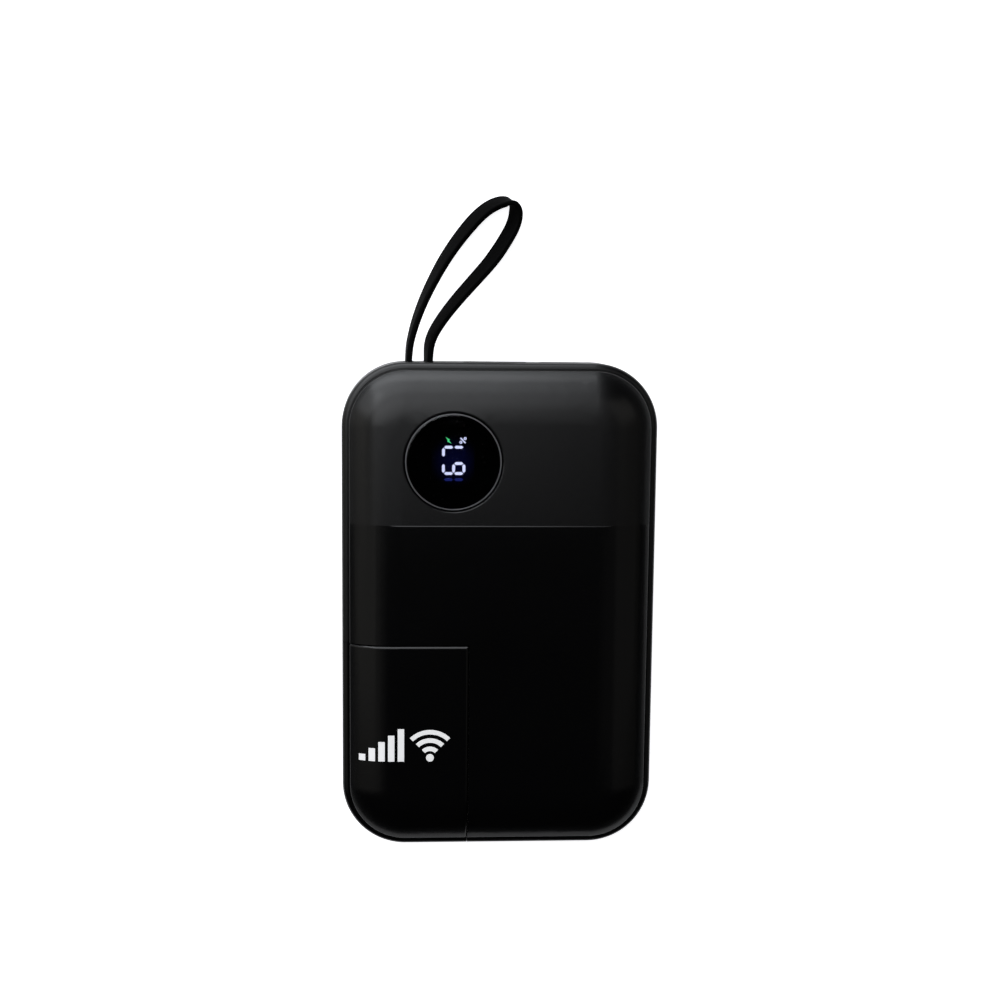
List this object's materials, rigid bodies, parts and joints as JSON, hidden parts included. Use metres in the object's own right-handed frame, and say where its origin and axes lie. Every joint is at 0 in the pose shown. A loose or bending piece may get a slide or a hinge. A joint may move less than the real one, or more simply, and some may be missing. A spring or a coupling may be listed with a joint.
{
  "type": "mobile hotspot",
  "caption": "Pocket mobile hotspot with a battery pack, round charge display, plug-in modem stick with a card tray, power button, charging sockets and a wrist strap.",
  "frame": {"origin": "middle of the flat back, which it lies on; the strap isn't counted", "axes": "+Z out of the front face, +Y towards the strap end, +X to the right of the front face"},
  "size_m": [0.068, 0.1414, 0.023],
  "materials": {
    "casing_plastic": "satin-gloss moulded, black",
    "frame_plastic": "satin-gloss moulded, black",
    "stick_plastic": "satin-gloss moulded, black",
    "button_plastic": "satin moulded, black",
    "lens_dark": "polished, smoked almost black",
    "ring_dark": "polished",
    "gasket_rubber": "soft, matte",
    "module_black": "matte",
    "digit_lit": "emissive blue-white",
    "digit_dim": "unlit",
    "icon_green": "emissive green",
    "circuit_board": "solder mask, green",
    "chip_black": "moulded epoxy",
    "ferrite": "sintered, grey",
    "steel": "nickel plated",
    "pouch_foil": "matte foil laminate",
    "nickel": "bare nickel strip",
    "foam": "closed-cell foam",
    "tape": "double-sided tape",
    "wire_red": "silicone insulation",
    "wire_black": "silicone insulation",
    "tongue_white": "moulded",
    "tongue_black": "moulded",
    "contact_gold": "gold flash",
    "strap_fabric": "woven polyester, black",
    "antenna_brass": "stamped",
    "card_plastic": "card stock plastic",
    "ink_white": "pad-printed ink"
  },
  "bodies": {
    "root": {"front_cover": "casing_plastic", "rear_cover": "casing_plastic", "mid_frame": "frame_plastic", "display_lens": "lens_dark", "display_bezel_ring": "ring_dark", "display_gasket": "gasket_rubber", "display_module": "module_black", "display_digits_lit": "digit_lit", "display_digits_dim": "digit_dim", "display_bolt_icon": "icon_green", "main_board": "circuit_board", "board_screws": "steel", "controller_chips": "chip_black", "power_inductor": "ferrite", "capacitors": "pouch_foil", "power_switch": "steel", "usb_a_port_shell": "steel", "usb_a_port_tongue": "tongue_white", "usb_c_port_shell": "steel", "usb_c_port_tongue": "tongue_black", "stick_socket_shell": "steel", "stick_socket_tongue": "tongue_black", "battery_cell_rear": "pouch_foil", "battery_cell_front": "pouch_foil", "cell_tape": "tape", "cell_foam_pad": "foam", "protection_board": "circuit_board", "cell_tabs": "nickel", "battery_wire_red": "wire_red", "battery_wire_black": "wire_black", "strap_anchor_pin": "steel", "strap_loop": "strap_fabric"},
    "power_button": {"power_button": "button_plastic"},
    "wifi_stick": {"stick_front_cover": "stick_plastic", "stick_rear_cover": "stick_plastic", "stick_frame": "stick_plastic", "stick_board": "circuit_board", "modem_shield": "steel", "modem_chip": "chip_black", "wifi_chip": "chip_black", "lte_antenna": "antenna_brass", "wifi_antenna": "antenna_brass", "usb_plug_shell": "steel", "usb_plug_tongue": "tongue_black", "plug_contacts": "contact_gold", "sim_socket": "steel", "reset_switch": "steel", "stick_mark": "ink_white"},
    "sim_tray": {"sim_tray": "button_plastic", "sim_card": "card_plastic"},
    "reset_button": {"reset_button": "button_plastic"}
  },
  "joints": [
    {"name": "wifi_stick_slide", "type": "slide", "parent": "root", "child": "wifi_stick", "axis": [0, -1, 0], "range_m": [0, 0.06]},
    {"name": "power_button_press", "type": "slide", "parent": "root", "child": "power_button", "axis": [-1, 0, 0], "range_m": [0, 0.0005], "stiffness_N_per_m": 1000, "springref_m": -0.0003},
    {"name": "sim_tray_slide", "type": "slide", "parent": "wifi_stick", "child": "sim_tray", "axis": [0, -1, 0], "range_m": [0, 0.018]},
    {"name": "reset_button_press", "type": "slide", "parent": "wifi_stick", "child": "reset_button", "axis": [1, 0, 0], "range_m": [0, 0.0003], "stiffness_N_per_m": 1000, "springref_m": -0.0003}
  ]
}
